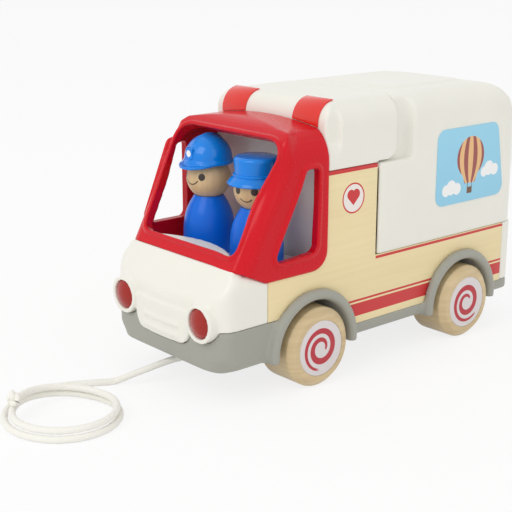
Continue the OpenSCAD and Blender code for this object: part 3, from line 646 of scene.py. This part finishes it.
# Headlights: solid red plugs with a domed, polished face. Each is moulded in one,
# and pushed into its tube in the nose from the front.
lamp_r = 8.9
lamp_dome = 2.6
lamp_rim = 0.5
lamp_ball = (lamp_r ** 2 + lamp_dome ** 2) / (2 * lamp_dome)
lamp_spread = math.degrees(math.asin(lamp_r / lamp_ball))
lamp_edge_turn = 2
lamp_red = plastic("lamp_red", paint(162, 28, 14), roughness=0.18, coat=0.15, peel_depth=0.004)
for side in ("left", "right"):
    low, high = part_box("headlight_" + side)
    depth = (high.y - low.y) / mm
    dome = arc(0, depth - lamp_ball, lamp_ball, 90, 90 - lamp_spread + lamp_edge_turn, 12)
    outline = [(0, 0), (lamp_r, 0), (lamp_r, dome[-1][1] - lamp_rim), *reversed(dome)]
    foot = ((low.x + high.x) / 2, high.y, (low.z + high.z) / 2)
    lens = turned("headlight_lens_" + side, outline, foot, (0, -1, 0))
    stand_for(lens, lamp_red, "headlight_" + side)

# Cab frame: the red cage with the open windscreen and side windows, each with a raised bead.
# It is moulded in one glossy piece and held between the hood and the roof.
red_plastic = plastic("red_plastic", paint(212, 8, 28), roughness=0.26, coat=0.1, gloss=0.2,
                      peel_depth=0.006)
rake = math.radians(27.8)
screen_foot = (-119.5, 81.5)
screen_corners = [(-42.5, 8.5, 7), (42.5, 8.5, 7), (48, 80, 13), (-48, 80, 13)]
window_corners = [(-89.5, 85, 4), (-58.5, 85, 4), (-58.5, 135, 3), (-68.5, 135, 3)]
far_window_shift = Vector((-16.5, 4))
cab_half = 55
pillar_round = 11
bead_r = 1.5
bead_out = 1.2
bead_proud = 0.3
bead_sides = 10
bead_step = 2


def rounded_loop(corners, grow, steps=8):
    """A closed outline through corners of (across, up, round), grown outwards, as smooth points."""
    spots = [Vector(c[:2]) for c in corners]
    loop = []
    for i, corner in enumerate(corners):
        before = (spots[i - 1] - spots[i]).normalized()
        after = (spots[(i + 1) % len(spots)] - spots[i]).normalized()
        half = before.angle(after) / 2
        inward = (before + after).normalized()
        middle_spot = spots[i] + inward * corner[2] / math.sin(half)
        reach = corner[2] + grow
        first = spots[i] + before * corner[2] / math.tan(half) - middle_spot
        last = spots[i] + after * corner[2] / math.tan(half) - middle_spot
        for k in range(steps + 1):
            way = first.lerp(last, k / steps).normalized()
            loop.append(middle_spot + way * reach)
    return loop


def bead(name, spots):
    """A round bead along a closed loop of spots."""
    path = []
    for here, after in zip(spots, spots[1:] + spots[:1]):
        count = max(1, round((after - here).length / bead_step))
        path += [here.lerp(after, k / count) * mm for k in range(count)]
    return tube(name, path, bead_r * mm, bead_sides, closed=True)


def on_screen(spot):
    """The place of a spot of the windscreen's flat plan, with the pillars bent back."""
    bend = max(abs(spot.x) - cab_half + pillar_round, 0)
    back = pillar_round - math.sqrt(pillar_round ** 2 - bend ** 2)
    return Vector((spot.x, screen_foot[0] + spot.y * math.sin(rake) + back * math.cos(rake),
                   screen_foot[1] + spot.y * math.cos(rake) - back * math.sin(rake)))


bead_face = cab_half + bead_proud
window_loop = rounded_loop(window_corners, bead_out)
beads = [bead("screen_bead", [on_screen(p) for p in rounded_loop(screen_corners, bead_out)]),
         bead("near_bead", [Vector((bead_face, *p)) for p in window_loop]),
         bead("far_bead", [Vector((-bead_face, *(p + far_window_shift))) for p in window_loop])]
cage = moulded("cab_cage", "cab_frame", voxel=0.6 * mm, passes=5, extras=beads)

sill_corner = Vector(window_corners[0][:2])
sill_drop = Vector((0, -4.5, -2.8))
sill_inside = cab_half - 2 * pillar_round
reach_ahead = 22
reach_back = 45
reach_down = 13
reach_up = 45
screen_up = Vector((0, math.sin(rake), math.cos(rake)))
screen_moves = [((44.2, 76.2), (3.6, 0.6)), ((40.5, 10.5), (3.6, -0.9))]
reach_across = 13
reach_along = 36


def pull(piece, shift, farness, *given):
    """Shifts the points of a piece, fully where their farness is 0 and not at all from 1 on."""
    for vertex in piece.data.vertices:
        far = farness(vertex.co / mm, *given)
        if far < 1:
            vertex.co += shift * (1 - far) ** 2 * mm


def from_sill(place):
    """How far a point is from the near window's lower front corner, as a share of the reach."""
    if place.x <= sill_inside:
        return 1
    back = place.y - sill_corner.x
    up = place.z - sill_corner.y
    back_share = back / (reach_back if back > 0 else reach_ahead)
    up_share = up / (reach_up if up > 0 else reach_down)
    return back_share ** 2 + up_share ** 2


def from_corner(place, corner):
    """How far a point is from a corner of the windscreen, as a share of the reach."""
    away = place - corner
    rise = away.dot(screen_up)
    aside = away - screen_up * rise
    return aside.length_squared / reach_across ** 2 + rise ** 2 / reach_along ** 2


pull(cage, sill_drop, from_sill)
for spot, (out, along) in screen_moves:
    pull(cage, Vector((out, 0, 0)) + screen_up * along, from_corner, on_screen(Vector(spot)))
stand_for(cage, red_plastic, "cab_frame")

# Cab interior: the white floor with its dash and two round seats, and the wall behind the figures.
# Both are plain mouldings. Screws from below hold the floor, and the wall stands between the panels.
seat_floor = moulded("cab_seat", "cab_interior", voxel=0.9 * mm, passes=4)
stand_for(seat_floor, white_plastic, "cab_interior")
cab_wall = moulded("cab_wall", "bulkhead", voxel=1.0 * mm, passes=2)
stand_for(cab_wall, white_plastic, "bulkhead")

# Side panels: thin birch boards with printed red lines and a round sign, varnished, one on each side.
# Their edges are broken by hand, and the wheel arches of the chassis cover the round cut-outs.
flat_angle = math.radians(0.5)


def eased(name, node, width):
    """A cut board or sheet: a CAD solid whose sharp edges are lightly broken."""
    piece = copy_of(name, node)
    bpy.ops.object.mode_set(mode="EDIT")
    bpy.ops.mesh.select_all(action="SELECT")
    bpy.ops.mesh.dissolve_limited(angle_limit=flat_angle)
    bpy.ops.object.mode_set(mode="OBJECT")
    edge = piece.modifiers.new("edge", "BEVEL")
    edge.width = width
    edge.segments = 3
    edge.limit_method = "ANGLE"
    edge.angle_limit = smooth_angle
    bpy.ops.object.modifier_apply(modifier="edge")
    bpy.ops.object.shade_smooth_by_angle(angle=smooth_angle)
    return piece


print_red = paint(206, 46, 48)
sign_white = paint(240, 232, 226)
sign_place = (0, -27.7 * mm, 112 * mm)
sign_r = 9.6 * mm
sign_ring = 1.0 * mm
heart_side = 6.4 * mm
# Each line: its lower and upper edge, then where it begins and ends along the panel.
print_lines = [(128.6, 131.5, -60, -6.5), (69.6, 71.4, -6.5, 130),
               (44.6, 46.0, -61, 130), (35.0, 43.4, -61, 130)]
birch = wood("printed_birch", paint(243, 225, 177), paint(237, 217, 168), stretch=(0.5, 0.03, 1))
tint = birch.colour_so_far()
y, z = birch.axes()[1:]
for low, high, front, back in print_lines:
    line = z.within(low * mm, high * mm) * y.within(front * mm, back * mm)
    tint = birch.mix(line, tint, print_red)
across, up = birch.axes(sign_place)[1:]
aside = abs(across)
lobe = heart_side / (2 * math.sqrt(2))
heart_lobes = span(aside - lobe, up - lobe).below(heart_side / 2)
heart = (aside + abs(up)).below(2 * lobe).most(heart_lobes)
reach = span(aside, up)
tint = birch.mix(reach.below(sign_r), tint, print_red)
tint = birch.mix(reach.below(sign_r - sign_ring), tint, sign_white)
tint = birch.mix(heart, tint, print_red)
birch.colour(tint)
for side in ("left", "right"):
    stand_for(eased("board_" + side, "side_panel_" + side, 0.5 * mm), birch, "side_panel_" + side)

# Front roof: the white block over the cab's back, moulded with a sloped fairing,
# and two red light strips, thin printed films that wrap over the fairing's front edge.
roof_block = moulded("roof_block", "front_roof", voxel=0.9 * mm, passes=8)
stand_for(roof_block, white_plastic, "front_roof")
strip_red = plastic("strip_red", paint(228, 38, 22), roughness=0.14, coat=0.3, gloss=0.4,
                    peel_depth=0.004)
for side in ("left", "right"):
    strip = eased("light_strip_" + side, "roof_light_" + side, 0.2 * mm)
    stand_for(strip, strip_red, "roof_light_" + side)

# Load bay: the white tub that the screws hold to the chassis, and the lower rear wall.
# Both are mouldings, and the wall wraps round the rear corners to the side panels.
stand_for(eased("load_tub", "cargo_box", 0.6 * mm), white_plastic, "cargo_box")
rear_wall = moulded("rear_wall", "rear_panel", voxel=0.8 * mm, passes=5)
stand_for(rear_wall, white_plastic, "rear_panel")

# Rear cover: the big white hood over the load bay, moulded in one, which slides off to the rear.
# A finger groove runs across each shoulder, and a pale blue label stands for a window on each side.
load_cover = moulded("load_cover", "rear_cover", voxel=1.15 * mm, passes=6)
stand_for(load_cover, white_plastic, "rear_cover")
label_foot = 94
label_h = 51
ink_soft = 0.2
balloon_y = 82
balloon_z = 124
balloon_r = 14
gore_bulge = 22
gore_least = 0.2
stripe_half = 2.6
outer_stripe = 9.2
outer_stripe_half = 2.2
skirt_top = 0.45 * balloon_r
skirt_foot = 17.5
skirt_tip = 30
skirt_slope = 0.42
rope_aside = 2.2
rope_half = 0.3
rope_drop = 18.9
rope_half_h = 1.6
basket_half = 2.6
basket_drop = 22.4
basket_half_h = 2.2
clouds = [(58, 104, 4), (63, 105.5, 5), (69, 104, 4), (97, 112, 3.5), (102, 114, 5), (108, 112.5, 4)]
cream = paint(236, 188, 132)
brown = paint(158, 84, 78)
basket_brown = paint(120, 84, 60)
cloud_white = paint(246, 247, 246)

label = Finish("window_label", roughness=0.4)
y, z = label.axes()[1:]
sky_share = ((z / mm - label_foot) / label_h).most(0.0).least(1.0)
tint = label.mix(sky_share, paint(150, 210, 236), paint(156, 214, 238))
across = y / mm - balloon_y
up = z / mm - balloon_z
globe = span(across, up).below(balloon_r, ink_soft)
taper = (abs(across) - (up + skirt_tip) * skirt_slope).below(0.0, ink_soft)
skirt = taper * up.below(-skirt_top, ink_soft) * (-skirt_foot - up).below(0.0, ink_soft)
lean = abs(across / (1.0 - (up / gore_bulge) * (up / gore_bulge)).most(gore_least))
outer_stripes = abs(lean - outer_stripe).below(outer_stripe_half, ink_soft)
stripes = lean.below(stripe_half, ink_soft).most(outer_stripes)
basket_rows = abs(up + basket_drop).below(basket_half_h, ink_soft)
basket = abs(across).below(basket_half, ink_soft) * basket_rows
rope_rows = abs(up + rope_drop).below(rope_half_h, ink_soft)
ropes = abs(abs(across) - rope_aside).below(rope_half, ink_soft) * rope_rows
tint = label.mix(globe.most(skirt), tint, label.mix(stripes, brown, cream))
tint = label.mix(basket.most(ropes), tint, basket_brown)
for mid_y, mid_z, r in clouds:
    puff = span(y / mm - mid_y, z / mm - mid_z).below(r, ink_soft)
    tint = label.mix(puff, tint, cloud_white)
label.colour(tint)
label.bump(label.noise(scale=900), depth=0.01 * mm)
for side in ("left", "right"):
    stand_for(eased("window_label_" + side, "window_" + side, 0.15 * mm), label, "window_" + side)

# Figures: two turned wooden pegs with painted blue bodies and bare round heads, and moulded blue hats.
# They stand in round seats, so they turn and lift out by hand.
body_curve = [(15.8, 0), (16.5, 4), (16.5, 12), (16.1, 19),
              (14.9, 25.5), (12.7, 31), (10.4, 35), (9.2, 37)]
dowel_r = 3
dowel_len = 6
neck_h = 37
head_r = 14
head_rise = 48.2
eye_r = 2.25 * mm
smile_line = 0.75 * mm
smile_share = 0.42
face_ink = paint(48, 34, 26)


def way_from_front(turn):
    """The level direction that lies at an angle from the front of the toy."""
    return Vector((math.sin(turn), -math.cos(turn), 0))


def doll_head(name, centre, facing, eye_turn, eye_up, smile_up, smile_r):
    """Bare varnished wood with two dot eyes and a thin smile."""
    finish = wood(name, paint(222, 192, 146), paint(203, 171, 124), (1, 1, 0.06), roughness=0.4)
    tint = finish.colour_so_far()

    def spot_on_head(turn, height):
        flat = math.sqrt(head_r ** 2 - height ** 2)
        return centre + (way_from_front(turn) * flat + Vector((0, 0, height))) * mm

    for side in (-1, 1):
        eye = span(*finish.axes(spot_on_head(facing + side * eye_turn, eye_up)))
        tint = finish.mix(eye.below(eye_r), tint, face_ink)
    ring = span(*finish.axes(spot_on_head(facing, smile_up + smile_r)))
    smile = abs(ring - smile_r * mm).below(smile_line / 2)
    low_part = finish.axes(centre)[2].below((smile_up + smile_share * smile_r) * mm)
    finish.colour(finish.mix(smile * low_part, tint, face_ink))
    return finish


brim_h = 57.2
crown_h = brim_h + 3.1
brim_curve = [(0, 0.2), (15.6, 0.2), (16.2, 1), (16.0, 2.2), (15.2, 2.9)]
dome_r = 15.1
helmet = [*((r, brim_h + h) for r, h in brim_curve), *arc(0, crown_h, dome_r, 0, 90, 24)]
visor_r = 13.6
visor_t = 1.8
visor_place = Vector((0, -6.4, brim_h + 0.9))
visor_tilt = math.radians(9)
crest_r = 15.0
crest_wire = 1.1
crest_cut = brim_h + 3
badge_size = Vector((6.5, 3, 6.5))
badge_place = Vector((0, -14.2, brim_h + 7.5))
spot_place = Vector((0, -15.8, brim_h + 7.5))
spot_r = 2.1 * mm
spot_depth = 6 * mm
spot_white = paint(240, 242, 244)
hat_look = {"tint": paint(2, 132, 230), "roughness": 0.14, "coat": 0.2, "gloss": 0.3,
            "peel_depth": 0.005}


def hard_hat(seat):
    """The driver's helmet: a dome with a brim, a visor, a crest and a plate with a white spot."""
    dome = turned("driver_hard_hat", helmet, seat)
    bpy.ops.mesh.primitive_cylinder_add(vertices=64, radius=visor_r * mm, depth=visor_t * mm,
                                        location=seat + visor_place * mm, rotation=(visor_tilt, 0, 0))
    visor = bpy.context.object
    bpy.ops.mesh.primitive_torus_add(major_radius=crest_r * mm, minor_radius=crest_wire * mm,
                                     major_segments=96, location=seat + Vector((0, 0, crown_h)) * mm,
                                     rotation=(0, math.pi / 2, 0))
    crest = bpy.context.object
    bpy.ops.mesh.primitive_cube_add(size=1, location=seat + badge_place * mm)
    badge = bpy.context.object
    badge.scale = badge_size * mm
    for part in (visor, crest, badge):
        only(part)
        bpy.ops.object.transform_apply(location=True, rotation=True, scale=True)
    only(crest)
    bpy.ops.object.mode_set(mode="EDIT")
    bpy.ops.mesh.select_all(action="SELECT")
    bpy.ops.mesh.bisect(plane_co=seat + Vector((0, 0, crest_cut)) * mm, plane_no=(0, 0, 1),
                        clear_inner=True, use_fill=True)
    bpy.ops.object.mode_set(mode="OBJECT")
    only(dome)
    for part in (visor, crest, badge):
        part.select_set(True)
    bpy.ops.object.join()
    soften(dome, voxel=0.45 * mm, passes=6)
    finish = plastic("hat_blue_spotted", **hat_look)
    px, py, pz = finish.axes(seat + spot_place * mm)
    spot = span(px, pz).below(spot_r) * py.below(spot_depth)
    finish.colour(finish.mix(spot, finish.colour_so_far(), spot_white))
    stand_for(dome, finish, "driver_helmet")


cap_h = 51.2
cap_curve = [(0, 0.2), (17.5, 0.2), (17.9, 0.8), (17, 2.4), (15.2, 4.2), (14.2, 4.9), (14.1, 5.3),
             (14.4, 5.7), (14.2, 6.6), (13.4, 7), (13.4, 7.6), (13.8, 14),
             *arc(11.3, 14.5, 2.5, 0, 80, 8), (0, 17)]
cap = [(r, cap_h + h) for r, h in cap_curve]


def kepi(seat):
    """The medic's cap: a flared brim, a band and a straight crown with a rounded top."""
    stand_for(turned("medic_kepi", cap, seat), plastic("hat_blue", **hat_look), "medic_cap")


blue_paint = plastic("blue_paint", paint(12, 112, 230), roughness=0.3, coat=0.1, gloss=0.2,
                     peel_depth=0.008)
smooth_body = [(p.x, p.y) for p in smooth_curve([Vector((r, h, 0)) for r, h in body_curve], 6)]
peg = [(0, 0), *smooth_body, (dowel_r, neck_h), (dowel_r, neck_h + dowel_len), (0, neck_h + dowel_len)]
neck_turn = math.degrees(math.asin((neck_h - head_rise) / head_r))
ball = [(0, neck_h), *arc(0, head_rise, head_r, neck_turn, 90, 40)]
hats = {"driver": hard_hat, "medic": kepi}
# Where each face looks and how far its eyes are spread, in degrees; then the heights of the eyes
# and the smile above the head's middle, and the smile's own radius, in millimetres.
faces = {"driver": (0, 33, 2.2, -3.0, 6.5), "medic": (20, 24, 0.6, -6.0, 5.0)}
for who, (facing, eye_turn, eye_up, smile_up, smile_r) in faces.items():
    low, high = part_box(who + "_body")
    seat = Vector(((low.x + high.x) / 2, (low.y + high.y) / 2, low.z))
    stand_for(turned(who + "_peg", peg, seat), blue_paint, who + "_body")
    skin = doll_head(who + "_face", seat + Vector((0, 0, head_rise * mm)), math.radians(facing),
                     math.radians(eye_turn), eye_up, smile_up, smile_r)
    stand_for(turned(who + "_ball", ball, seat), skin, who + "_head")
    hats[who](seat)
